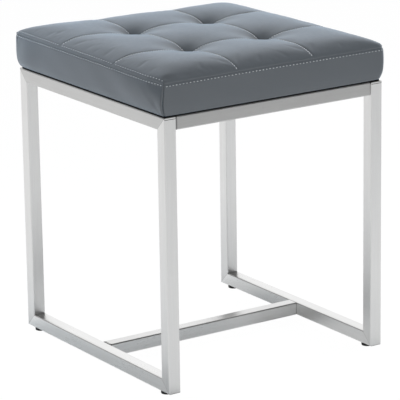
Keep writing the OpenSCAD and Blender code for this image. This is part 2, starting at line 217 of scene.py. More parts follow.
class Wiring:
    """A node tree being wired, with short calls for the nodes that the finishes share."""

    def __init__(self, tree: Tree) -> None:
        """Keeps the tree."""
        self.tree = tree

    def feed(self, socket: Socket, value: object) -> None:
        """Links a socket to a value that is a socket, or else sets it."""
        if isinstance(value, Socket):
            self.tree.links.new(value, socket)
        else:
            socket.default_value = value

    def add(self, kind: str, *values: object, **settings: object) -> Node:
        """Adds a node of a kind, sets its properties and feeds its first inputs in order."""
        node = self.tree.nodes.new(f"ShaderNode{kind}")
        for key, setting in settings.items():
            setattr(node, key, setting)
        for socket, value in zip(node.inputs, values):
            self.feed(socket, value)
        return node

    def put(self, node: Node, **values: object) -> Node:
        """Feeds a node's inputs by name, with _ for a space, and returns the node."""
        for key, value in values.items():
            self.feed(node.inputs[key.replace("_", " ")], value)
        return node

    def use(self, group: Tree, **values: object) -> Sockets:
        """Places a group, feeds its inputs by name and returns its outputs."""
        return self.put(self.add("Group", node_tree=group), **values).outputs

    def maths(self, operation: str, *values: object) -> Socket:
        """Returns a Math node's result for up to three values."""
        return self.add("Math", *values, operation=operation).outputs[0]

    def times(self, a: object, b: object) -> Socket:
        """Returns a times b."""
        return self.maths("MULTIPLY", a, b)

    def more(self, value: object, share: object, base: object) -> Socket:
        """Returns the base and a share of the value besides."""
        return self.maths("MULTIPLY_ADD", value, share, base)

    def size(self, value: object) -> Socket:
        """Returns a value without its sign."""
        return self.maths("ABSOLUTE", value)

    def less(self, a: object, b: object) -> Socket:
        """Returns a less b."""
        return self.maths("SUBTRACT", a, b)

    def gap(self, a: object, b: object) -> Socket:
        """Returns how far apart two values are."""
        return self.size(self.less(a, b))

    def below(self, value: object, limit: float) -> Socket:
        """Returns 1 where the value is below the limit, and else 0."""
        return self.maths("LESS_THAN", value, limit)

    def span(self, value: object, low: float, high: float) -> Socket:
        """Returns a value mapped smoothly from low..high to 0..1."""
        node = self.add("MapRange", value, low, high, interpolation_type="SMOOTHSTEP")
        return node.outputs["Result"]

    def stretch(self, vector: Socket, scale: Sequence[float]) -> Socket:
        """Returns a vector multiplied axis by axis."""
        return self.add("VectorMath", vector, scale, operation="MULTIPLY").outputs[0]

    def noise(
        self, vector: Socket, scale: float, detail: float = 2.0, rough: float = 0.5
    ) -> Socket:
        """Returns a Noise Texture's factor."""
        node = self.put(self.add("TexNoise"), Vector=vector, Scale=scale)
        return self.put(node, Detail=detail, Roughness=rough).outputs["Fac"]

    def blend(self, factor: object, a: object, b: object) -> Socket:
        """Returns colours a and b mixed by a factor."""
        node = self.add("Mix", factor, data_type="RGBA")
        for place, colour in ((6, a), (7, b)):
            self.feed(
                node.inputs[place], colour if isinstance(colour, Socket) else (*colour, 1.0)
            )
        return node.outputs[2]

    def axes(self, vector: Socket) -> list[Socket]:
        """Returns a vector's x, y and z."""
        return list(self.add("SeparateXYZ", vector).outputs)

    def where(self, kind: str = "Object") -> Socket:
        """Returns the surface's coordinates of a kind, in metres for Object."""
        return self.add("TexCoord").outputs[kind]

    def bump(self, height: Socket, strength: float, depth: float) -> Socket:
        """Returns the normal of a Bump node."""
        node = self.put(self.add("Bump"), Height=height, Strength=strength, Distance=depth)
        return node.outputs["Normal"]


class Effects:
    """The effects that several finishes use, each a node group that is built once."""

    def __init__(self) -> None:
        """Builds every group."""
        self.drift = self.group("tone_drift", (), ("Broad", "Fine"), self.tone_drift)
        self.grain = self.group("grain_lines", (), ("Lines", "Streaks"), self.grain_lines)
        sizes = ("Half Depth", "Low", "High")
        self.mitre = self.group("mitre_line", sizes, ("Line",), self.mitre_line)
        self.hide = self.group("hide_grain", (), ("Height", "Crease"), self.hide_grain)

    @staticmethod
    def group(
        name: str,
        inputs: Sequence[str],
        outputs: Sequence[str],
        make: Callable[[Wiring, Sockets], Sockets],
    ) -> Tree:
        """Builds a group that has a Vector input first.

        Args:
            name: the group's name.
            inputs: the name of each float input.
            outputs: the name of each float output.
            make: wires the group from its inputs and returns what its outputs show.

        Returns:
            The group.
        """
        tree = bpy.data.node_groups.new(name, "ShaderNodeTree")
        labels = [("Vector", "INPUT", "Vector")]
        labels += [(label, "INPUT", "Float") for label in inputs]
        labels += [(label, "OUTPUT", "Float") for label in outputs]
        for label, way, kind in labels:
            tree.interface.new_socket(name=label, in_out=way, socket_type=f"NodeSocket{kind}")
        source, out = tree.nodes.new("NodeGroupInput"), tree.nodes.new("NodeGroupOutput")
        w = Wiring(tree)
        for label, socket in zip(outputs, make(w, source.outputs)):
            w.feed(out.inputs[label], socket)
        return tree

    @staticmethod
    def tone_drift(w: Wiring, source: Sockets) -> Sockets:
        """Slow changes of tone across a surface, such as handling and uneven dye."""
        vector = source["Vector"]
        return w.noise(vector, 14.0), w.noise(vector, 160.0, 3.0, 0.6)

    @staticmethod
    def grain_lines(w: Wiring, source: Sockets) -> Sockets:
        """Fine parallel lines from brushing, along a vector that is already stretched."""
        vector = source["Vector"]
        return w.noise(vector, 60.0, 3.0, 0.7), w.noise(vector, 9.0)

    @staticmethod
    def mitre_line(w: Wiring, source: Sockets) -> Sockets:
        """The fine line of a ground weld where two mitred tubes of a loop meet."""
        tube, rounding = 20.5 * MM, 1.4 * MM
        _, y, z = w.axes(source["Vector"])
        side = w.less(source["Half Depth"], w.size(y))
        up = w.less(source["High"], z)
        down = w.less(z, source["Low"])
        near = w.maths("MINIMUM", up, down)
        inside = w.below(w.maths("MAXIMUM", side, near), tube)
        line = w.less(1.0, w.span(w.gap(side, near), 0.35 * MM, 1.1 * MM))
        depth = w.more(w.below(w.maths("MINIMUM", side, near), rounding), 0.5, 0.25)
        return (w.times(w.times(line, inside), depth),)

    @staticmethod
    def hide_grain(w: Wiring, source: Sockets) -> Sockets:
        """The pebbled grain pressed into leatherette, with creases between the pebbles."""
        vector = source["Vector"]
        cell = w.add("TexVoronoi", feature="SMOOTH_F1")
        cell = w.put(cell, Vector=vector, Scale=900.0, Smoothness=0.6).outputs["Distance"]
        height = w.maths("ADD", cell, w.times(w.noise(vector, 1500.0), 0.4))
        height = w.maths("ADD", height, w.times(w.noise(vector, 90.0, 3.0, 0.55), 1.5))
        return height, w.span(cell, 0.1, 0.6)


# Finishes


@dataclass(frozen=True)
class Finish:
    """What every finish has: a name, a colour and a roughness."""

    name: str
    colour: Rgb
    roughness: float

    def inputs(self, w: Wiring, effects: Effects) -> dict[str, object]:
        """Wires the finish.

        Args:
            w: the material's wiring.
            effects: the shared node groups.

        Returns:
            What the shader's inputs are fed or set to, by name, with _ for a space.
        """
        raise NotImplementedError

    def build(self, effects: Effects) -> Material:
        """Returns the finish as a material with a Principled BSDF."""
        material = bpy.data.materials.new(self.name)
        material.use_nodes = True
        w = Wiring(material.node_tree)
        shader = material.node_tree.nodes["Principled BSDF"]
        w.put(shader, Base_Color=(*self.colour, 1.0), Roughness=self.roughness)
        w.put(shader, **self.inputs(w, effects))
        return material

    def shade(self, by: float) -> Rgb:
        """Returns the colour made lighter or darker by a factor."""
        r, g, b = self.colour
        return (r * by, g * by, b * by)

    def between(self, w: Wiring, factor: object, low: float, high: float) -> Socket:
        """Returns the colour between two shades of it, mixed by a factor."""
        return w.blend(factor, self.shade(low), self.shade(high))


class Grain(Enum):
    """Which way a tube is brushed, as the stretch of its grain along x, y and z."""

    ALONG_X = (1.0, 30.0, 30.0)
    ALONG_Y = (30.0, 1.0, 30.0)
    ALONG_Z = (30.0, 30.0, 1.0)


@dataclass(frozen=True)
class BrushedSteel(Finish):
    """Satin stainless tube, brushed along its length, with ground joints.

    The mitres of a loop lie at half_depth, low and high. The dark lines lie at butt along x, where
    a tube meets its neighbour, each a joint line deepened by painted shadow of the gap beside the
    leg; at the height cap on a leg's end and at the height edge they are painted dark reflections
    of the tubes' rounded top edges.
    """

    grain: Grain = Grain.ALONG_Z
    half_depth: float = 0.201
    low: float = 0.005
    high: float = 0.415
    butt_line_and_shade: float = 0.0
    painted_cap_line: float = 0.0
    edge: float = 0.0

    def inputs(self, w: Wiring, effects: Effects) -> dict[str, object]:
        """Wires the finish and returns what the shader's inputs are fed."""
        place, normal = w.where(), w.where("Normal")
        x, _, z = w.axes(place)
        run = [1.0 if v == 1.0 else 0.0 for v in self.grain.value]
        across = w.add("VectorMath", normal, run, operation="CROSS_PRODUCT")
        lines = w.use(effects.grain, Vector=w.stretch(place, self.grain.value))
        drift = w.use(effects.drift, Vector=place)
        joint = w.use(
            effects.mitre, Vector=place, Half_Depth=self.half_depth, Low=self.low, High=self.high
        )
        tone = self.between(w, lines["Streaks"], 0.93, 1.04)
        tone = w.blend(w.times(lines["Lines"], 0.35), tone, self.shade(0.9))
        tone = w.blend(joint["Line"], tone, self.shade(0.2))
        # painted shadow: the ends of a butted tube darken, partly its joint line and partly the
        # shade in the gap beside the leg
        if self.butt_line_and_shade:
            right = w.span(x, self.butt_line_and_shade - 1.3 * MM, self.butt_line_and_shade - 0.3 * MM)
            left = w.span(x, -self.butt_line_and_shade + 3.4 * MM, -self.butt_line_and_shade + 2.4 * MM)
            end = w.maths("MAXIMUM", left, right)
            tone = w.blend(w.times(end, 0.6), tone, self.shade(0.15))
        # painted reflection: a dark line where a leg's front and back faces round over at its top
        if self.painted_cap_line:
            facing = w.maths("GREATER_THAN", w.size(w.axes(normal)[1]), 0.7)
            line = w.times(w.below(w.gap(z, self.painted_cap_line), 0.5 * MM), facing)
            tone = w.blend(line, tone, self.shade(0.25))
        # painted reflection: a dark line on the upright faces just under a tube's rounded top edge
        if self.edge:
            upright = w.below(w.size(w.axes(normal)[2]), 0.8)
            line = w.times(w.below(w.gap(z, self.edge), 0.7 * MM), upright)
            tone = w.blend(w.times(line, 0.45), tone, self.shade(0.2))
        rough = w.more(lines["Lines"], 0.1, self.roughness - 0.05)
        rough = w.more(drift["Broad"], 0.06, rough)
        return {
            "Metallic": 1.0,
            "Anisotropic": 0.7,
            "Tangent": across.outputs[0],
            "Base_Color": tone,
            "Roughness": rough,
            "Normal": w.bump(lines["Lines"], 0.12, 0.04 * MM),
        }


@dataclass(frozen=True)
class Speckled(Finish):
    """A finely speckled finish: cloudy zinc, moulded nylon, open foam or pressed cloth.

    The speckles run between two shades. They are finer by a factor, have a bump of a strength
    and depth where relief is given, and are duller by an amount. Dots are the cloth's dimples,
    as a number of radians per metre.
    """

    shades: tuple[float, float] = (0.8, 1.1)
    finer: float = 1.0
    relief: tuple[float, float] | None = None
    duller: float = 0.0
    metal: float = 0.0
    dots: float = 0.0

    def inputs(self, w: Wiring, effects: Effects) -> dict[str, object]:
        """Wires the finish and returns what the shader's inputs are fed."""
        place = w.where()
        fine = w.use(effects.drift, Vector=w.stretch(place, [self.finer] * 3))["Fine"]
        found = {"Metallic": self.metal, "Base_Color": self.between(w, fine, *self.shades)}
        if self.duller:
            found["Roughness"] = w.more(fine, self.duller, self.roughness - 0.1)
        if self.dots:
            x, y = (w.maths("SINE", w.times(v, self.dots)) for v in w.axes(place)[:2])
            fine = w.times(x, y)
        if self.relief:
            found["Normal"] = w.bump(fine, *self.relief)
        return found


@dataclass(frozen=True)
class BirchPly(Finish):
    """Plywood: long grain on its faces and plies on its edges."""

    ply: float = 0.0012

    def inputs(self, w: Wiring, effects: Effects) -> dict[str, object]:
        """Wires the finish and returns what the shader's inputs are fed."""
        place = w.where()
        lines = w.use(effects.grain, Vector=w.stretch(place, (1.2, 12.0, 12.0)))
        layer = w.maths("FRACT", w.maths("DIVIDE", w.axes(place)[2], 2 * self.ply))
        dark = w.times(w.maths("GREATER_THAN", layer, 0.5), 0.3)
        face = w.blend(dark, self.between(w, lines["Streaks"], 0.7, 1.1), self.shade(0.55))
        return {"Base_Color": face, "Normal": w.bump(lines["Lines"], 0.15, 0.2 * MM)}


@dataclass(frozen=True)
class Leatherette(Finish):
    """Coated upholstery fabric with a fine pebbled grain and a soft sheen."""

    sheen: Rgb = (0.4, 0.68, 1.0)

    def inputs(self, w: Wiring, effects: Effects) -> dict[str, object]:
        """Wires the finish and returns what the shader's inputs are fed."""
        place = w.where()
        hide = w.use(effects.hide, Vector=place)
        drift = w.use(effects.drift, Vector=place)
        tone = self.between(w, drift["Broad"], 0.93, 1.07)
        tone = w.blend(w.times(hide["Crease"], 0.25), self.shade(0.85), tone)
        return {
            "Coat_Weight": 0.08,
            "Coat_Roughness": 0.25,
            "Sheen_Weight": 0.2,
            "Sheen_Roughness": 0.4,
            "Sheen_Tint": (*self.sheen, 1.0),
            "Base_Color": tone,
            "Roughness": w.more(drift["Fine"], 0.12, self.roughness - 0.06),
            "Normal": w.bump(hide["Height"], 0.12, 0.1 * MM),
        }


@dataclass(frozen=True)
class SpunThread(Finish):
    """Twisted thread or cord."""

    twist: float = 900.0

    def inputs(self, w: Wiring, effects: Effects) -> dict[str, object]:
        """Wires the finish and returns what the shader's inputs are fed."""
        x, y, z = w.axes(w.where())
        run = w.maths("ADD", w.maths("ADD", x, y), z)
        ply = w.more(w.maths("SINE", w.times(run, self.twist)), 0.5, 0.5)
        colour, normal = self.between(w, ply, 0.8, 1.1), w.bump(ply, 0.3, 0.1 * MM)
        return {"Sheen_Weight": 0.2, "Base_Color": colour, "Normal": normal}


# the height of the painted dark line that stands for the reflection in a bottom tube's rounded top
# edge
PAINTED_EDGE_LINE = {"edge": 0.0243}
AROUND = {"grain": Grain.ALONG_Y, **PAINTED_EDGE_LINE}
# tubes with butted ends have no mitre lines, so these are put out of reach
ACROSS = {"grain": Grain.ALONG_X, "low": -FAR, "high": FAR, "butt_line_and_shade": 0.172, **PAINTED_EDGE_LINE}
# the top rails' steel is a rougher copy, and also darker as painted shade under the seat's
# overhang
BRIGHT, SATIN_SHADED = ((0.88, 0.88, 0.875), 0.26), ((0.68, 0.68, 0.675), 0.42)
CLOTH = {"shades": (0.7, 1.6), "finer": 4.0, "relief": (0.4, 0.2 * MM), "dots": 1800.0}


class Look(Enum):
    """Every finish of the stool, by what it is used for."""

    LEG = BrushedSteel("steel_brushed_upright", (0.84, 0.84, 0.835), 0.38, painted_cap_line=0.4122)
    LOOP = BrushedSteel("steel_brushed_along_loop", *BRIGHT, **AROUND)
    LOOP_TOP = BrushedSteel("steel_satin_shaded_along_loop", *SATIN_SHADED, **AROUND)
    CROSS = BrushedSteel("steel_brushed_across", *BRIGHT, **ACROSS)
    CROSS_TOP = BrushedSteel("steel_satin_shaded_across", *SATIN_SHADED, **ACROSS)
    ZINC = Speckled("zinc_plate", (0.62, 0.63, 0.66), 0.4, duller=0.25, metal=1.0)
    NYLON = Speckled("black_nylon", (0.012,) * 3, 0.55, (0.8, 1.5), 6.0, (0.2, 0.1 * MM))
    PLY = BirchPly("birch_ply", (0.62, 0.45, 0.27), 0.65)
    FOAM = Speckled("cell_foam", (0.85, 0.8, 0.62), 0.9, (0.75, 1.05), 5.0, (0.5, 0.8 * MM))
    LEATHER = Leatherette("grey_leatherette", (0.121, 0.134, 0.149), 0.36)
    CORD = SpunThread("tuft_cord", (0.7, 0.7, 0.66), 0.7)
    THREAD = SpunThread("sewing_thread", (0.9, 0.92, 0.95), 0.6, 5000.0)
    DUST = Speckled("spunbond_cloth", (0.012, 0.012, 0.013), 0.85, **CLOTH)
    # a felt strip under the seat's rim; its near-black colour is partly painted shade, standing
    # for the gap's shadow
    FELT = Speckled("black_felt_and_gap_shade", (0.006,) * 3, 0.95, **CLOTH)


Book = dict[Look, Material]


# The cushion


@dataclass(frozen=True)
class CushionForm:
    """Sizes of the cushion, in metres, and the form of its top."""

    half_w: float = 0.1945
    half_d: float = 0.2035
    rim: float = 0.467
    underside: float = 0.4181
    board_top: float = 0.4315
    crown: float = 0.0115
    crown_run: float = 0.055
    corner_fill: float = 3.0
    edge_rise: float = 0.002
    edge_run: float = 0.005
    puff: float = 0.004
    tuft_drop: float = 0.0145
    tuft_r: float = 0.021
    tuft_fold: float = 0.0005
    seam_x: float = 0.066
    seam_y: float = 0.073
    seam_gap: float = 0.0002
    leather: float = 0.0012
    fold: float = 0.0006
    # how far the worn cushion stands above its even form: front, middle and rear, left to right
    uneven: tuple[tuple[float, float, float], ...] = (
        (-0.0018, -0.0006, -0.0012),
        (0.0013, -0.0006, -0.0011),
        (0.0023, -0.0033, -0.0055),
    )
    # plan radius of the corners: front left and right, rear left and right
    corners: Corners = ((0.0025, 0.011), (0.0028, 0.006))
    # the same halfway up, where the sides bulge
    mid_corners: Corners = ((0.0025, 0.006), (0.011, 0.008))
    # the same at the underside
    low_corners: Corners = ((0.005, 0.012), (0.013, 0.013))
    rim_inset: float = 0.001
    # how far the worn sides lean out at the rim: the left one, its middle besides, the right one
    lean: tuple[float, float, float] = (0.0023, 0.0012, 0.0025)
    # the front left corner: how far it is drawn in at the rim and pushed out below
    drawn: tuple[float, float] = (0.0042, 0.003)

    def lift(self, x: Array, y: Array) -> Array:
        """How far the rim at x, y stands above its even height."""
        across = self.thirds(x / self.half_w)
        along = self.thirds(y / self.half_d)
        spots = [(i, j) for j in range(3) for i in range(3)]
        return sum(self.uneven[j][i] * along[j] * across[i] for i, j in spots)

    @staticmethod
    def thirds(t: Array) -> list[Array]:
        """Weights of the low side, the middle and the high side for t from -1 to 1."""
        t = np.clip(t, -1.0, 1.0)
        return [t * (t - 1) / 2, 1 - t * t, t * (t + 1) / 2]

    def settle(self, points: Array) -> Array:
        """Moves points of the even cushion to where the worn one has them.

        Args:
            points: rows of x, y, z, in any shape that ends in 3.

        Returns:
            The moved points. What lies on the board stays.
        """
        share = clip01((points[..., 2] - self.board_top) / (self.rim - self.board_top))
        out = points.copy()
        x, y, z = (points[..., i] for i in range(3))
        out[..., 2] += share * self.lift(x, y)
        left, middle, right = self.lean
        bow = left + middle * (1 - np.clip(y / self.half_d, -1, 1) ** 2)
        out[..., 0] += share * (right * step01(x / self.half_w) - bow * step01(-x / self.half_w))
        up = clip01((z - self.underside) / (self.rim - self.underside))
        near = clip01(1 - (y + self.half_d) / (0.004 + 0.035 * up))
        near = near * np.exp(-clip01(x + self.half_w) / 0.012)
        draw, push = self.drawn
        out[..., 0] += near * (draw * up - push * np.sin(np.pi * up**0.65))
        return out

    def rounded(self, x: Array, y: Array) -> tuple[Array, Array]:
        """Moves points of the square plan so that its corners become round."""
        out_x, out_y = x.copy(), y.copy()
        a, b = self.half_w - self.rim_inset, self.half_d - self.rim_inset
        for j, sy in enumerate((-1, 1)):
            for i, sx in enumerate((-1, 1)):
                r = self.corners[j][i]
                p, q = 1 - (a - sx * x) / r, 1 - (b - sy * y) / r
                near = (p > 0) & (q > 0)
                turn_x = p * np.sqrt(clip01(1 - q * q / 2))
                turn_y = q * np.sqrt(clip01(1 - p * p / 2))
                out_x = np.where(near, sx * (a - r + r * turn_x), out_x)
                out_y = np.where(near, sy * (b - r + r * turn_y), out_y)
        return out_x, out_y

    def rise(self, d: Array) -> Array:
        """How full the crown is at a distance d in from the rim, from 0 to 1."""
        return 1.0 - (1.0 - clip01(d / self.crown_run)) ** 2.5

    def seam_height(self, x: Array, y: Array) -> Array:
        """Height of the top at x, y as if every point lay on a seam."""
        u, v = np.abs(x) - self.seam_x, np.abs(y) - self.seam_y
        reach = np.hypot(u, v)
        pull = np.exp(-((reach / self.tuft_r) ** 1.2))
        star = np.cos(12 * np.arctan2(v, u)) * bell(reach - 6 * MM, 5 * MM)
        a, b = self.rise(self.half_w - np.abs(x)), self.rise(self.half_d - np.abs(y))
        crown = a * b * (1 + self.corner_fill * (1 - a) * (1 - b))
        tuft = self.tuft_drop * pull + self.tuft_fold * star
        return self.rim + self.crown * crown + self.rolled(x, y) - tuft

    def rolled(self, x: Array, y: Array) -> Array:
        """Height that the leather gains at once as it rolls in from the rim."""
        edge = np.minimum(self.half_w - np.abs(x), self.half_d - np.abs(y)) - self.rim_inset
        t = clip01(1 - edge / self.edge_run)
        return self.edge_rise * np.sqrt(1 - t * t)

    def folded(self, d: Array) -> Array:
        """How far the leather's folded edge drops at a distance d from the seam."""
        inward = np.clip(self.fold - d, 0.0, self.fold)
        return self.fold - np.sqrt(self.fold**2 - inward**2)

    @staticmethod
    def panel_spans(half: float, seam: float) -> list[tuple[float, float]]:
        """Limits of the three panels between the rims at half, with seams at seam."""
        return [(-half, -seam), (-seam, seam), (seam, half)]


def gathers(along: Array, phase: float = 0.0) -> Array:
    """The gathers of a doubly stitched rim, from -1 to 1: one for each stitch of 6.4 mm."""
    return np.sin(982.0 * along + 0.8 * np.sin(90.0 * along) + phase)


@dataclass
class LeatherTop:
    """The nine panels of the top, inflated between their seams by a cloth simulation."""

    form: CushionForm
    cells: int = 46
    start_share: float = 0.55
    pressure: float = 12.0
    fullness: float = 0.0015
    lumps: float = 0.0003
    pucker: float = 0.0005
    crease: float = 0.0022
    move_cap: float = 0.006
    frames: int = 20
    panels: list[Piece] = field(default_factory=list)

    def lines(self, low: float, high: float) -> Array:
        """Grid lines from one seam to the next, close together where the edges fold down."""
        fold = self.form.fold
        inner = np.linspace(low + fold, high - fold, self.cells + 1)
        edge = np.array([0.0, 0.25, 0.6]) * fold
        return np.concatenate([low + edge, inner, (high - edge)[::-1]])

    def limits(self, span: tuple[float, float], place: int) -> tuple[float, float]:
        """A panel's own limits: at an inner seam, half the seam's gap inside it."""
        half, rim = self.form.seam_gap / 2, self.form.rim_inset
        low, high = (rim if place == end else half for end in (0, 2))
        return span[0] + low, span[1] - high

    def start(self, i: int, j: int, share: float) -> tuple[Array, Array]:
        """A panel before it is inflated.

        Args:
            i: the panel's column, left to right.
            j: the panel's row, front to rear.
            share: how much of the full puff the panel has.

        Returns:
            The grid of points, and for each point whether its seam holds it.
        """
        f = self.form
        x0, x1 = self.limits(f.panel_spans(f.half_w, f.seam_x)[i], i)
        y0, y1 = self.limits(f.panel_spans(f.half_d, f.seam_y)[j], j)
        x, y = np.meshgrid(self.lines(x0, x1), self.lines(y0, y1))
        tx, ty = (x - x0) / (x1 - x0), (y - y0) / (y1 - y0)
        bulge = np.sqrt(clip01(np.sin(np.pi * tx) * np.sin(np.pi * ty)))
        edge = np.minimum(np.minimum(x - x0, x1 - x), np.minimum(y - y0, y1 - y))
        wave = np.sin(61.0 * x + 2.1 * i + 1.3) * np.sin(53.0 * y + 1.7 * j)
        wave += 0.5 * np.sin(127.0 * x - 88.0 * y + i - 2.0 * j)
        z = f.seam_height(x, y) + f.puff * share * bulge
        z += self.lumps * wave * bulge - f.folded(edge)
        z += self.pucker * self.rim_wave(x, y, i) - self.crease * self.corner_fold(x, y)
        x, y = f.rounded(x, y)
        return f.settle(np.stack([x, y, z], axis=-1)), edge <= f.fold * 1.001

    def rim_wave(self, x: Array, y: Array, i: int) -> Array:
        """The gathers beside the doubly stitched rim on the left and right."""
        reach = self.form.half_w - self.form.rim_inset - np.abs(x)
        return gathers(y, i) * bell(reach - 2.1 * MM, 3 * MM)

    def corner_fold(self, x: Array, y: Array) -> Array:
        """The crease behind the front rim, deep at the front left corner and fading from it."""
        away = x + self.form.half_w
        behind = y + self.form.half_d - 6.8 * MM
        share = step01((away - 0.004) / 0.008) * (1 - step01((away - 0.02) / 0.1))
        return share * bell(behind, 3 * MM)

    def inflate(self, grids: list[Array], held: list[Array]) -> list[Array]:
        """Inflates all the panels in one cloth simulation.

        Args:
            grids: each panel's points.
            held: for each point, whether it stays where it is.

        Returns:
            The grids after the simulation, with each point's move capped.
        """
        rows, cols = grids[0].shape[:2]
        faces: list[list[int]] = []
        for k in range(len(grids)):
            faces += grid_faces(rows, cols, k * rows * cols)
        rest = np.concatenate([g.reshape(-1, 3) for g in grids])
        sheet = lone(mesh_piece("inflating", rest, faces))
        pins = sheet.vertex_groups.new(name="seams")
        fixed = np.concatenate([h.ravel() for h in held])
        pins.add(np.flatnonzero(fixed).tolist(), 1.0, "REPLACE")
        cloth = sheet.modifiers.new("inflate", "CLOTH")
        settings = {
            "quality": 5,
            "tension_stiffness": 15.0,
            "compression_stiffness": 15.0,
            "shear_stiffness": 8.0,
            "bending_stiffness": 3.0,
            "use_pressure": True,
            "uniform_pressure_force": self.pressure,
            "vertex_group_mass": "seams",
            "shrink_min": -self.fullness,
        }
        for key, value in settings.items():
            setattr(cloth.settings, key, value)
        cloth.settings.effector_weights.gravity = 0.0
        cloth.collision_settings.use_collision = False
        cloth.point_cache.frame_end = self.frames
        for step in range(1, self.frames + 1):
            bpy.context.scene.frame_set(step)
        bpy.ops.object.modifier_apply(modifier="inflate")
        bpy.context.scene.frame_set(1)
        moved = np.array([v.co for v in sheet.data.vertices], float)
        bpy.data.objects.remove(sheet)
        move = moved - rest
        size = np.linalg.norm(move, axis=1, keepdims=True)
        LOG.info("panels moved up to %.2f mm", size.max() / MM)
        move *= np.minimum(1.0, self.move_cap / np.maximum(size, 1e-9))
        move[fixed] = 0.0
        return list((rest + move).reshape(-1, rows, cols, 3))

    def build(self, material: Material) -> None:
        """Makes and dresses the nine panels."""
        spots = [(i, j) for i in range(3) for j in range(3)]
        share = self.start_share
        made = [self.start(i, j, share) for i, j in spots]
        grids = [grid for grid, _ in made]
        grids = self.inflate(grids, [held for _, held in made])
        for (i, j), grid in zip(spots, grids):
            below = grid - np.array([0.0, 0.0, self.form.leather])
            name = f"panel_{i + 1}{j + 1}"
            piece = smooth(grid_shell(f"leather_{name}", grid, below), 60.0)
            finish_soft(piece, material, "leatherette", name)
            self.panels.append(piece)


class Side(Enum):
    """A side of the cushion, as its turn from the front in degrees."""

    FRONT = 0
    RIGHT = 90
    REAR = 180
    LEFT = 270

    @property
    def turn(self) -> Array:
        """The turn as a matrix for rows of points."""
        return np.array(Matrix.Rotation(math.radians(self.value), 3, "Z"))

    @property
    def twin(self) -> bool:
        """Whether the rim has two rows of stitches."""
        return self in (Side.LEFT, Side.RIGHT)


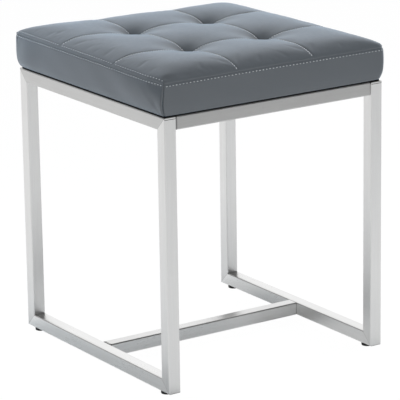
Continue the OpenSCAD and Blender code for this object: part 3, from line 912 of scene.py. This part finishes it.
@dataclass
class SideBand:
    """One side band: a strip that turns under the board and meets its neighbours at 45 degrees."""

    form: CushionForm
    side: Side
    wrap: float = 0.032
    round: float = 0.003
    tuck: float = 0.001
    corner: float = 0.013
    top: float = 0.0475
    pitch: float = 0.002
    droop: float = 0.0008
    # the relief: long waves, the sway of the twin-stitched sides, the groove at a corner seam
    waves: float = 0.0004
    sway: float = 0.0006
    groove: float = 0.0014
    # the left side's swellings beside its front and rear corner, and the pinch at the rear one
    front_swell: float = 0.0038
    rear_swell: float = 0.0045
    pinch: float = 0.0013
    piece: Piece | None = None

    @property
    def reach(self) -> tuple[float, float]:
        """Half the side's length and its distance from the middle."""
        f = self.form
        return (f.half_d, f.half_w) if self.side.twin else (f.half_w, f.half_d)

    @property
    def radii(self) -> list[tuple[float, float, float]]:
        """The plan radius of the side's left and right corner, at the rim, halfway and below."""
        spots = {
            Side.FRONT: ((0, 0), (0, 1)),
            Side.RIGHT: ((0, 1), (1, 1)),
            Side.REAR: ((1, 1), (1, 0)),
            Side.LEFT: ((1, 0), (0, 0)),
        }[self.side]
        f = self.form
        kinds = (f.corners, f.mid_corners, f.low_corners)
        return [tuple(radii[j][i] for radii in kinds) for j, i in spots]

    @property
    def belly(self) -> float:
        """How far the side bulges out halfway up."""
        return {Side.LEFT: 2.4, Side.REAR: 1.6}.get(self.side, 0.6) * MM

    def swell(self, height: float) -> float:
        """How far out the side bulges at a height above the underside, from 0 to 1."""
        return math.sin(math.pi * min(1.0, height / self.top) ** 0.8)

    @staticmethod
    def widened(height: float) -> float:
        """How much of the underside's wider corners is left at a height above it, 0 to 1."""
        return math.exp(-((height / 0.006) ** 1.3))

    def stations(self) -> list[tuple[float, float, float, float]]:
        """The profile from under the board up to the rim.

        Returns:
            For each station its inset, its height above the underside, how much wider its
            corners are, and the angle of its outward direction above straight down, in radians.
        """
        out = []
        for inset in np.linspace(self.wrap, self.round + self.tuck, 9):
            out.append((inset, 0.0, 1.0 - (inset - 4 * MM) / 0.01, 0.0))
        for angle in np.radians([20, 40, 60, 80]):
            inset = self.tuck + self.round * (1 - math.sin(angle))
            height = self.round * (1 - math.cos(angle))
            out.append((inset, height, self.widened(height), angle))
        levels = np.linspace(self.round, self.top - 0.006, 18)
        near_rim = self.top - np.array([4.6, 3.3, 2.2, 1.3, 0.6, 0.2, 0]) * MM
        for height in np.concatenate([levels, near_rim]):
            inset = self.tuck * max(0.0, 1 - (height - self.round) / 0.012) ** 2
            inset += self.form.rim_inset * max(0.0, 1 - (self.top - height) / 0.005) ** 2
            out.append((inset, height, self.widened(height), math.pi / 2))
        return out

    def plan(self, inset: float, height: float, wide: float) -> tuple[Array, Array, Array]:
        """One line of the band seen from above, for the front side.

        Args:
            inset: the line's distance inside the cushion's outline.
            height: its height above the underside.
            wide: how far its corners have grown to the bottom's radius; below 0, sharper ones.

        Returns:
            The points, their outward directions, and for each point its signed distance from
            the nearer end, which is negative on the right half.
        """
        a, b = self.reach
        a, b = a - inset, b - inset
        turns = np.radians([45, 46, 48, 51, 55, 60, 66, 72, 79, 86])
        arc = np.stack([-np.cos(turns), -np.sin(turns)], axis=-1)
        mirror = np.array([-1.0, 1.0])
        ends = []
        for radius, middle, low in self.radii:
            radius += (middle - radius) * max(0.0, self.swell(height)) ** 0.7
            radius = low + 0.01 * wide if wide < 0 else radius + (low - radius) * wide
            radius = max(radius, 0.0004)
            ends.append((radius, np.array([-a + radius, -b + radius]) + radius * arc))
        count = 2 * round((self.reach[0] - self.corner) / self.pitch)
        straight = np.linspace(-a + ends[0][0], a - ends[1][0], count)
        straight = np.stack([straight, np.full(count, -b)], axis=-1)
        down = np.tile([0.0, -1.0], (count, 1))
        points = np.concatenate([ends[0][1], straight, ends[1][1][::-1] * mirror])
        ways = np.concatenate([arc, down, arc[::-1] * mirror])
        half = self.form.seam_gap / 2
        points[0, 0] += half
        points[-1, 0] -= half
        steps = np.linalg.norm(np.diff(points, axis=0), axis=1)
        run = np.concatenate([[0.0], np.cumsum(steps)])
        return points, ways, np.where(run < run[-1] / 2, run, run - run[-1])

    def relief(self, along: Array, height: float, end: Array) -> Array:
        """How far the leather stands out from its plain form.

        Args:
            along: distance along the side from its middle.
            height: height above the underside.
            end: signed distance from the nearer corner seam.

        Returns:
            The move outward, in metres.
        """
        rise = min(1.0, height / self.top)
        swell = max(0.0, self.swell(height))
        seed = self.side.value * 0.017
        slow = np.sin(31.0 * along + seed) + 0.6 * np.sin(74.0 * along + 2.0 * seed + 5 * rise)
        soft = self.waves * slow * swell**0.5
        if self.side.twin:
            sway = np.sin(23.0 * along - 4.2 * rise + 1.0) + 0.5 * np.sin(57.0 * along + 3 * rise)
            soft = soft + self.sway * sway * swell
        pucker = (0.7 if self.side.twin else 0.15) * MM
        pucker = pucker * gathers(along) * bell(self.top - height, 4.5 * MM)
        away = np.abs(end)
        move = self.belly * swell + (soft + pucker) * step01(away / 0.02)
        move = move - self.groove * bell(away, 1 * MM)
        if self.side is Side.LEFT:
            near = np.where(end <= 0, away, FAR)
            edge = 0.005 + 0.06 * rise
            inner = clip01(near / edge) ** 0.8
            outer = bell(np.maximum(near - edge, 0), 0.05)
            move = move + self.front_swell * swell**0.7 * inner * outer
            far = np.where(end > 0, away, FAR)
            move = move - self.pinch * bell(far - 8 * MM, 1.4 * MM) * step01((rise - 0.72) / 0.2)
            move = move + self.rear_swell * swell * bell(far - 0.032, 0.03)
        return move

    def build(self, material: Material) -> None:
        """Makes and dresses the band."""
        f = self.form
        outer, inner = [], []
        for inset, height, wide, angle in self.stations():
            points, ways, end = self.plan(inset, height, wide)
            out_h, out_v = math.sin(angle), -math.cos(angle)
            move = self.relief(points[:, 0], height, end) * out_h
            lip = max(0.0, 1.0 - (self.top - height) / (0.8 * MM))
            move = move - 0.5 * MM * (1 - math.sqrt(1 - min(lip, 1.0) ** 2))
            droop = self.droop * bell(inset - 2.6 * MM, 1.1 * MM) * (height < self.round)
            z = np.full(len(points), f.underside + height - droop)
            flat = points + ways * move[:, None]
            outer.append(np.column_stack([flat, z]))
            back, back_ways, _ = self.plan(inset + f.leather * out_h, height, wide)
            back = back + back_ways * (move - 0.2 * MM * out_h)[:, None]
            inner.append(np.column_stack([back, z - f.leather * out_v]))
        turn = self.side.turn.T
        outer_grid = f.settle(np.array(outer) @ turn)
        inner_grid = f.settle(np.array(inner) @ turn)
        name = f"{self.side.name.lower()}_band"
        self.piece = smooth(grid_shell(f"leather_{name}", outer_grid, inner_grid), 50.0)
        finish_soft(self.piece, material, "leatherette", name)


@dataclass
class SeatFoam:
    """The foam block under the leather, with a hole for each tuft's cord."""

    form: CushionForm
    cells: int = 60
    hole: float = 0.0015

    def build(self, material: Material) -> None:
        """Makes and dresses the foam."""
        f = self.form
        inset = f.leather + f.rim_inset + 0.2 * MM
        x, y = square_grid(f.half_w - inset, f.half_d - inset, self.cells)
        top = f.seam_height(x, y) - f.leather - f.fold - 0.6 * MM
        low_x, low_y = f.rounded(x, y)
        corner = (np.abs(x) > f.half_w - 2 * MM) & (np.abs(y) > f.half_d - 2 * MM)
        low_x = low_x - corner * np.sign(x) * 2.5 * MM
        low_y = low_y - corner * np.sign(y) * 2.5 * MM
        x, y = f.rounded(x, y)
        upper = f.settle(np.stack([x, y, top], axis=-1))
        lower = np.stack([low_x, low_y, np.full_like(x, f.board_top)], axis=-1)
        piece = grid_shell("foam_block", upper, lower)
        drill(piece, self.hole, f.seam_x, f.seam_y)
        smooth(piece)
        finish_soft(piece, material, "foam", "seat_foam")


class Row(Enum):
    """A kind of row: the length of a stitch, the row's pitch and the thread's radius."""

    SEAM = (0.003, 0.0042, 0.00055)
    RIM = (0.0026, 0.0058, 0.00037)
    TWIN = (0.0022, 0.0064, 0.00047)

    def __init__(self, length: float, pitch: float, radius: float) -> None:
        """Names the three sizes."""
        self.length, self.pitch, self.radius = length, pitch, radius


@dataclass
class StitchWork:
    """Every row of thread on the cushion. A row's stitch is modelled once and then copied."""

    form: CushionForm
    top: LeatherTop
    bands: dict[Side, SideBand]
    row_drop: float = 0.0045
    twin_drop: float = 0.0034
    twin_inset: float = 0.0032
    offset: float = 0.0016
    # how far rows stay clear of the tufts, of the top's rims and of the sides' corners
    clear: tuple[float, float, float] = (0.0024, 0.0022, 0.0036)
    models: dict[Row, tuple[Array, list[list[int]]]] = field(default_factory=dict)

    def stitch(self, row: Row) -> tuple[Array, list[list[int]]]:
        """Models one stitch along x: a thread that dives into the leather at both ends.

        Args:
            row: the kind of row.

        Returns:
            Its points and its faces.
        """
        if row in self.models:
            return self.models[row]
        add, lying = bpy.ops.mesh.primitive_cylinder_add, (0.0, math.pi / 2, 0.0)
        piece = primitive(
            add, vertices=6, radius=row.radius, depth=row.length, rotation=lying
        )
        bpy.ops.object.transform_apply(location=False, rotation=True, scale=False)
        bpy.ops.object.mode_set(mode="EDIT")
        for x in (-0.3, 0.3):
            bpy.ops.mesh.select_all(action="SELECT")
            bpy.ops.mesh.bisect(plane_co=(x * row.length, 0.0, 0.0), plane_no=(1.0, 0.0, 0.0))
        bpy.ops.object.mode_set(mode="OBJECT")
        points = np.array([v.co for v in piece.data.vertices], float)
        faces = [list(p.vertices) for p in piece.data.polygons]
        bpy.data.objects.remove(piece)
        share = np.abs(points[:, 0]) / (row.length / 2)
        points[:, 1:] *= (1.0 - 0.5 * share**4)[:, None]
        points[:, 2] += row.radius * (0.5 - 1.6 * share**3)
        self.models[row] = (points, faces)
        return points, faces

    def sew(
        self, name: str, row: Row, ends: tuple[float, float], look: Surface, material: Material
    ) -> None:
        """Copies the stitch along a row, as one piece.

        Args:
            name: the row's name.
            row: the kind of row.
            ends: where the row starts and stops along its side or seam.
            look: gives the surface's point and normal at a distance along the row.
            material: the thread's finish.
        """
        base, base_faces = self.stitch(row)
        points, faces = [], []
        count = max(1, int((ends[1] - ends[0]) / row.pitch))
        for k in range(count):
            s = ends[0] + (k + 0.5) * (ends[1] - ends[0]) / count
            before, _ = look(s - row.length / 2)
            after, _ = look(s + row.length / 2)
            _, normal = look(s)
            if before is None or after is None or normal is None:
                continue
            along = (after - before).normalized()
            side = normal.cross(along).normalized()
            turn = np.array([along, side, along.cross(side).normalized()])
            faces += [[i + len(points) * len(base) for i in f] for f in base_faces]
            points.append(base @ turn + np.array((before + after) / 2))
        piece = smooth(mesh_piece(name, np.concatenate(points), faces), 60.0)
        finish_soft(piece, material, "cord")

    def tree(self, pieces: Sequence[Piece]) -> BVHTree:
        """Returns one search tree over several pieces' faces."""
        points: list[Vector] = []
        faces: list[list[int]] = []
        for piece in pieces:
            start = len(points)
            points += [v.co.copy() for v in piece.data.vertices]
            faces += [[start + i for i in p.vertices] for p in piece.data.polygons]
        return BVHTree.FromPolygons(points, faces)

    def build(self, material: Material) -> None:
        """Sews the seams of the top and the rows along the rim."""
        f = self.form
        top = self.tree(self.top.panels)

        def above(x: float, y: float) -> tuple[Vector, Vector]:
            """The top's surface at x, y."""
            hit, normal, _, _ = top.ray_cast(Vector((x, y, 1.0)), Vector((0, 0, -1)))
            return hit, normal

        def along_rim(x: float, y: float) -> tuple[Vector, Vector]:
            """The top's surface where x, y comes to lie once the corners are round."""
            px, py = f.rounded(np.array(x), np.array(y))
            edge = f.settle(np.array([float(px), float(py), f.rim]))
            return above(float(edge[0]), float(edge[1]))

        seams = {"left": -f.seam_x, "right": f.seam_x, "front": -f.seam_y, "rear": f.seam_y}
        for label, at in seams.items():
            at -= self.offset
            if label in ("left", "right"):
                tuft, half, look = f.seam_y, f.half_d, lambda s, x=at: above(x, s)
            else:
                tuft, half, look = f.seam_x, f.half_w, lambda s, y=at: above(s, y)
            for low, high, part in self.parts(tuft, half - self.clear[1]):
                name = f"thread_{label}_seam_{part}"
                self.sew(name, Row.SEAM, (low, high), look, material)
        for side, band in self.bands.items():
            self.band_row(side, band, material)
            if side.twin:
                x = (f.half_w - self.twin_inset) * (-1 if side is Side.LEFT else 1)
                edge = f.half_d - 4 * MM
                name = f"thread_{side.name.lower()}_rim_2"
                self.sew(name, Row.TWIN, (-edge, edge), lambda s, x=x: along_rim(x, s), material)

    def parts(self, tuft: float, edge: float) -> list[tuple[float, float, int]]:
        """The three stretches of a seam between its ends and its two tufts."""
        low, high = tuft - self.clear[0], tuft + self.clear[0]
        return [(-edge, -high, 1), (-low, low, 2), (high, edge, 3)]

    def band_row(self, side: Side, band: SideBand, material: Material) -> None:
        """Sews the row below the rim of one side, into its band."""
        drop = self.twin_drop if side.twin else self.row_drop
        tree = self.tree([band.piece])
        half, far = band.reach
        inward = Vector(side.turn @ np.array([0.0, 1.0, 0.0]))

        def beside(s: float) -> tuple[Vector, Vector]:
            """The band's surface at a distance s along the side."""
            edge = side.turn @ np.array([s, -far, self.form.rim - drop])
            start = Vector(self.form.settle(edge)) - 0.05 * inward
            hit, normal, _, _ = tree.ray_cast(start, inward)
            return hit, normal

        row = Row.TWIN if side.twin else Row.RIM
        end = half - self.clear[2]
        self.sew(f"thread_{side.name.lower()}_rim_1", row, (-end, end), beside, material)


@dataclass
class TuftCords:
    """The twisted cords that pull the four tufts down to their anchors."""

    form: CushionForm
    radius: float = 0.0008
    rings: int = 64
    sides: int = 12

    def build(self, material: Material) -> None:
        """Makes and dresses the cords, as one piece."""
        low, high = (c.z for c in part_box("tuft_ties"))
        z = np.linspace(low, high, self.rings)
        angle = np.linspace(0, 2 * math.pi, self.sides, endpoint=False)
        turn, up = np.meshgrid(angle, z)
        radius = self.radius * (0.86 + 0.14 * np.cos(3 * turn - 3200.0 * up))
        count, n = self.rings * self.sides, self.sides
        tube = [
            [r + c, r + (c + 1) % n, r + (c + 1) % n + n, r + c + n]
            for r in range(0, count - n, n)
            for c in range(n)
        ]
        tube += [list(range(n))[::-1], list(range(count - n, count))]
        points, faces = [], []
        for k, (sx, sy) in enumerate(QUARTERS):
            x = sx * self.form.seam_x + radius * np.cos(turn)
            y = sy * self.form.seam_y + radius * np.sin(turn)
            points.append(self.form.settle(np.stack([x, y, up], axis=-1)).reshape(-1, 3))
            faces += [[k * count + p for p in f] for f in tube]
        piece = smooth(mesh_piece("tuft_cords", np.concatenate(points), faces), 60.0)
        finish_soft(piece, material, "cord", "tuft_ties")


@dataclass
class DustCover:
    """The black cloth stapled under the seat, which sags a little between its staples."""

    half_w: float = 0.187
    half_d: float = 0.196
    low: float = 0.4175
    thick: float = 0.0006
    sag: float = 0.0022
    cells: int = 96
    hole: float = 0.0045
    # half the width of a bolt's hexagon head: across its corners and across its flats
    head: tuple[float, float] = (0.005775076, 0.005)

    def build(self, material: Material) -> None:
        """Makes and dresses the cover."""
        x, y = square_grid(self.half_w, self.half_d, self.cells)
        # it hangs free inside the top rails, 25 to 27 mm in from its edges
        u = clip01(1 - (x / 0.162) ** 2)
        v = clip01(1 - (y / 0.169) ** 2)
        fold = 1 + 0.35 * np.sin(48.0 * x + 9.0 * y) * np.cos(31.0 * y - 14.0 * x)
        drop = self.sag * np.sqrt(u * v) * fold * step01(np.minimum(u, v) * 3)
        upper = np.stack([x, y, self.low + self.thick - drop], axis=-1)
        lower = np.stack([x, y, self.low - drop], axis=-1)
        piece = grid_shell("dust_cloth", upper, lower)
        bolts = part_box("seat_bolts")[1]
        drill(piece, self.hole, bolts.x - self.head[0], bolts.y - self.head[1])
        smooth(piece)
        finish_soft(piece, material, "dust_cloth", "dust_cover")


@dataclass
class Cushion:
    """All the soft pieces of the seat."""

    form: CushionForm = field(default_factory=CushionForm)

    def build(self, book: Book) -> None:
        """Makes the foam, the cover, the cords, the stitches and the dust cloth."""
        SeatFoam(self.form).build(book[Look.FOAM])
        top = LeatherTop(self.form)
        top.build(book[Look.LEATHER])
        bands = {side: SideBand(self.form, side) for side in Side}
        for band in bands.values():
            band.build(book[Look.LEATHER])
        TuftCords(self.form).build(book[Look.CORD])
        StitchWork(self.form, top, bands).build(book[Look.THREAD])
        DustCover().build(book[Look.DUST])


# The rigid pieces


@dataclass
class FrameDresser:
    """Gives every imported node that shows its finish."""

    book: Book

    @property
    def plan(self) -> dict[str, Look]:
        """The look of each node."""
        fixings = ("glide_inserts", "t_nuts", "seat_bolts", "washers", "staples")
        plan = dict.fromkeys(fixings, Look.ZINC)
        plan |= {"seat_board": Look.PLY, "tuft_anchors": Look.NYLON, "seat_felt": Look.FELT}
        plan |= {"front_top_rail": Look.CROSS_TOP, "rear_top_rail": Look.CROSS_TOP}
        plan["stretcher"] = Look.CROSS
        for side in ("left", "right"):
            for end in ("front", "rear"):
                plan[f"{side}_{end}_leg"] = Look.LEG
            plan[f"{side}_top_rail"] = Look.LOOP_TOP
            plan[f"{side}_bottom_rail"] = Look.LOOP
        for corner in ("lf", "lr", "rf", "rr"):
            plan[f"corner_plate_{corner}"] = Look.CROSS
            plan[f"glide_pad_{corner}"] = Look.NYLON
            plan[f"glide_stem_{corner}"] = Look.ZINC
        return plan

    def build(self) -> None:
        """Dresses the nodes."""
        for name, look in self.plan.items():
            dress(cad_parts[name], self.book[look])
            LOG.info("%s: %s", name, look.value.name)


# The studio


@dataclass
class Studio:
    """Floor, light and camera."""

    eye: Point = (-2.1428, -3.2203, 1.3101)
    turn: float = -33.63
    tilt: float = 15.744
    roll: float = -0.864
    focal_px: float = 2648.75
    sensor: float = 36.0
    picture: int = 400
    centre_px: tuple[float, float] = (199.63, 199.64)
    # the painted shadow on the floor that the bottom rails and the stretcher mirror: its lines'
    # places and half lengths, how far from them it fades, and how much darker it is
    rail_shadow_lines: tuple[float, float] = (-0.225, 0.152)
    rail_shadow_half: float = 0.17
    bar_shadow_line: float = -0.072
    bar_shadow_half: float = 0.13
    shadow_fade: tuple[float, float] = (0.035, 0.08)
    darker: float = 0.49
    # the floor as the camera and the lamps see it, and the white behind it
    matt_grey: float = 0.6
    glow: float = 1.05
    seen: float = 0.93
    # the world's light: where the bright rear side lies, its strength and the rest's
    rear: tuple[float, float] = (0.5, 0.86)
    rear_light: float = 0.95
    top_light: float = 0.1
    base_light: float = 0.12
    aim: Point = (0.0, 0.0, 0.3)

    def camera(self) -> None:
        """Places the camera where the photograph was taken from."""
        a, e, r = (math.radians(v) for v in (self.turn, self.tilt, self.roll))
        back = Vector((math.sin(a) * math.cos(e), -math.cos(a) * math.cos(e), math.sin(e)))
        right = Vector((math.cos(a), math.sin(a), 0.0))
        up = back.cross(right)
        right, up = (
            math.cos(r) * right + math.sin(r) * up,
            math.cos(r) * up - math.sin(r) * right,
        )
        data = bpy.data.cameras.new("camera")
        data.sensor_width = self.sensor
        data.lens = self.focal_px * self.sensor / self.picture
        data.shift_x = (self.picture / 2 - self.centre_px[0]) / self.picture
        data.shift_y = (self.centre_px[1] - self.picture / 2) / self.picture
        data.clip_end = 50.0
        camera = bpy.data.objects.new("camera", data)
        camera.matrix_world = Matrix(
            [*([*row, at] for row, at in zip(zip(right, up, back), self.eye)), [0, 0, 0, 1]]
        )
        bpy.context.scene.collection.objects.link(camera)
        bpy.context.scene.camera = camera

    def floor(self) -> None:
        """Lays a pale floor that shows white to the camera and keeps a faint shadow.

        Where metal mirrors it, it glows with painted shade: dimmer near the stool and at the
        front, with painted shadow beside the bottom rails and the stretcher.
        """
        floor = primitive(bpy.ops.mesh.primitive_plane_add, size=24.0)
        floor.name = "studio_floor"
        material = bpy.data.materials.new("studio_white")
        material.use_nodes = True
        material.node_tree.nodes.clear()
        w = Wiring(material.node_tree)
        seen = w.add("LightPath").outputs
        away = w.add("VectorMath", w.where(), operation="LENGTH").outputs["Value"]
        x, y, _ = w.axes(w.where())
        # the floor's glow in reflections: painted shade, dimmer near the stool and at the front,
        # brighter behind
        painted_mirror_light = w.more(w.span(away, 0.2, 0.8), 0.2, 0.4)
        painted_mirror_light = w.more(w.span(y, -0.9, -0.5), 0.21, painted_mirror_light)
        painted_mirror_light = w.more(w.span(y, 0.2, 1.1), 0.33, painted_mirror_light)
        # painted shadow strips beside the bottom rails and the stretcher, halved on the right away
        # from y = 45 mm
        left, right = (w.gap(x, at) for at in self.rail_shadow_lines)
        rail_shadow = w.maths("MINIMUM", left, right)
        rail_shadow = w.maths("MAXIMUM", rail_shadow, w.less(w.size(y), self.rail_shadow_half))
        bar_shadow = w.maths("MAXIMUM", w.gap(y, self.bar_shadow_line), w.less(w.size(x), self.bar_shadow_half))
        near = w.less(1.0, w.span(w.maths("MINIMUM", rail_shadow, bar_shadow), *self.shadow_fade))
        thinner_shadow = w.times(w.span(w.gap(y, 0.045), 0.06, 0.13), w.span(x, 0.05, 0.09))
        near = w.times(near, w.more(thinner_shadow, -0.5, 1.0))
        painted_mirror_light = w.times(seen["Is Glossy Ray"], w.more(near, -self.darker, painted_mirror_light))
        share = w.maths("MAXIMUM", w.times(seen["Is Camera Ray"], self.seen), painted_mirror_light)
        matt = w.add("BsdfDiffuse", (*[self.matt_grey] * 3, 1.0))
        glow = w.put(w.add("Emission"), Strength=self.glow)
        mix = w.add("MixShader", share, matt.outputs[0], glow.outputs[0])
        w.add("OutputMaterial", mix.outputs[0])
        floor.data.materials.append(material)

    def world(self) -> None:
        """Lights the stool from above and behind, with a dim side where the camera stands."""
        world = bpy.data.worlds.new("studio")
        bpy.context.scene.world = world
        world.use_nodes = True
        world.node_tree.nodes.clear()
        w = Wiring(world.node_tree)
        x, y, z = w.axes(w.where("Generated"))
        back = w.span(w.more(x, self.rear[0], w.times(y, self.rear[1])), 0.1, 0.85)
        low = w.less(1.0, w.span(z, 0.45, 0.85))
        back = w.times(w.times(back, low), self.rear_light)
        high = w.times(w.span(z, 0.3, 0.9), self.top_light)
        level = w.maths("ADD", w.maths("ADD", back, high), self.base_light)
        soft = w.add("Background", WHITE, level)
        white = w.add("Background", WHITE, 1.0)
        seen = w.add("LightPath").outputs["Is Camera Ray"]
        mix = w.add("MixShader", seen, soft.outputs[0], white.outputs[0])
        w.add("OutputWorld", mix.outputs[0])

    def lamp(self, name: str, place: Point, size: float, power: float, tint: Rgb) -> None:
        """Hangs a square soft lamp that faces the seat.

        Args:
            name: the lamp's name.
            place: where it hangs, in metres.
            size: its side.
            power: its power in watts.
            tint: its colour.
        """
        data = bpy.data.lights.new(name, "AREA")
        data.size = size
        data.energy = power
        data.color = tint
        lamp = bpy.data.objects.new(name, data)
        lamp.visible_glossy = lamp.visible_camera = False
        lamp.location = place
        aim = Vector(self.aim) - Vector(place)
        lamp.rotation_euler = aim.to_track_quat("-Z", "Y").to_euler()
        bpy.context.scene.collection.objects.link(lamp)

    def build(self) -> None:
        """Sets up the whole studio."""
        self.camera()
        self.floor()
        self.world()
        cool, plain = (0.8, 0.91, 1.0), (1.0, 1.0, 0.98)
        self.lamp("overhead", (-0.2, 0.6, 3.0), 2.0, 9.0, cool)
        self.lamp("front_left", (-0.85, -2.75, 1.25), 1.6, 44.5, plain)
        self.lamp("back_left", (-0.56, 0.6, 0.65), 0.4, 4.4, cool)
        self.lamp("right", (2.1, -0.4, 0.7), 0.8, 25.0, cool)
        bpy.context.scene.view_settings.view_transform = "Standard"


def main() -> None:
    """Builds the stool's finishes and pieces, then the studio."""
    logging.basicConfig(level=logging.INFO, format="%(name)s: %(message)s")
    effects = Effects()
    book = {look: look.value.build(effects) for look in Look}
    FrameDresser(book).build()
    Cushion().build(book)
    Studio().build()


if __name__ == "__main__":
    main()
